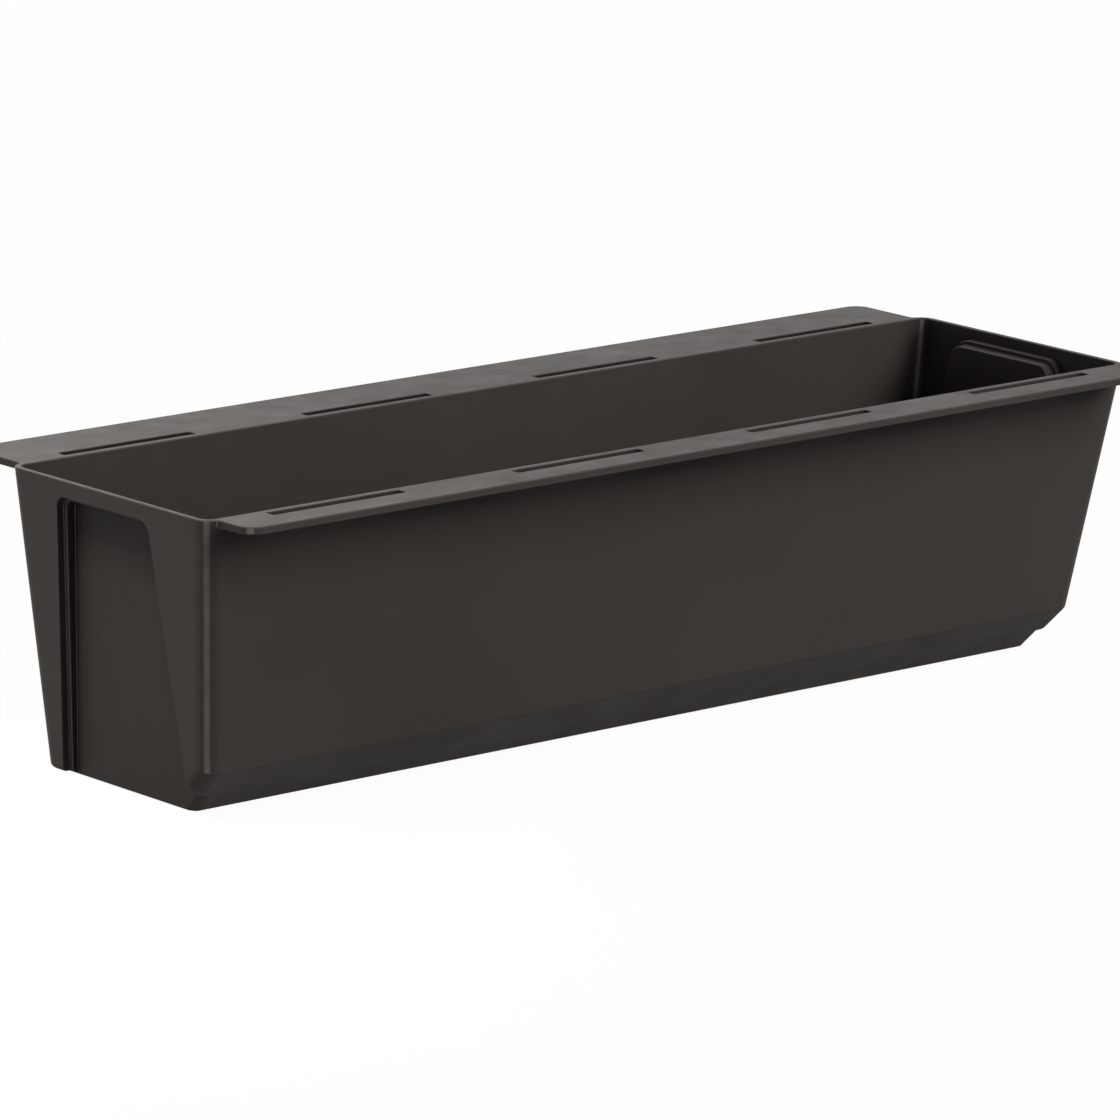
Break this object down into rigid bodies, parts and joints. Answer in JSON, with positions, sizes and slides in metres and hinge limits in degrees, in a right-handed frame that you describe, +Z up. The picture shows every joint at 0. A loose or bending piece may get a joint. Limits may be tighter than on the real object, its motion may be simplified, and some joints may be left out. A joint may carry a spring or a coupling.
{
  "type": "hanging trough planter",
  "caption": "Narrow moulded trough planter with a sloped front, stepped recesses in its ends, slotted carrying flanges along both rims and removable drain plugs.",
  "frame": {"origin": "on the underside of the base, under the middle of the whole outline with its flanges", "axes": "+X along the trough, +Z up, -Y towards the sloped front and its narrow flange"},
  "size_m": [0.3798, 0.1398, 0.0972],
  "materials": {
    "trough": "matt dark grey-brown moulding with a fine even grain",
    "drain_plug": "matt near-black moulding, slightly softer plastic than the trough"
  },
  "bodies": {
    "trough": {"trough": "trough"},
    "left_plug": {"drain_plug_1": "drain_plug"},
    "middle_plug": {"drain_plug_2": "drain_plug"},
    "right_plug": {"drain_plug_3": "drain_plug"}
  },
  "joints": [
    {"name": "left_plug_pull", "type": "slide", "parent": "trough", "child": "left_plug", "axis": [0, 0, 1], "range_m": [0, 0.008]},
    {"name": "middle_plug_pull", "type": "slide", "parent": "trough", "child": "middle_plug", "axis": [0, 0, 1], "range_m": [0, 0.008]},
    {"name": "right_plug_pull", "type": "slide", "parent": "trough", "child": "right_plug", "axis": [0, 0, 1], "range_m": [0, 0.008]}
  ]
}
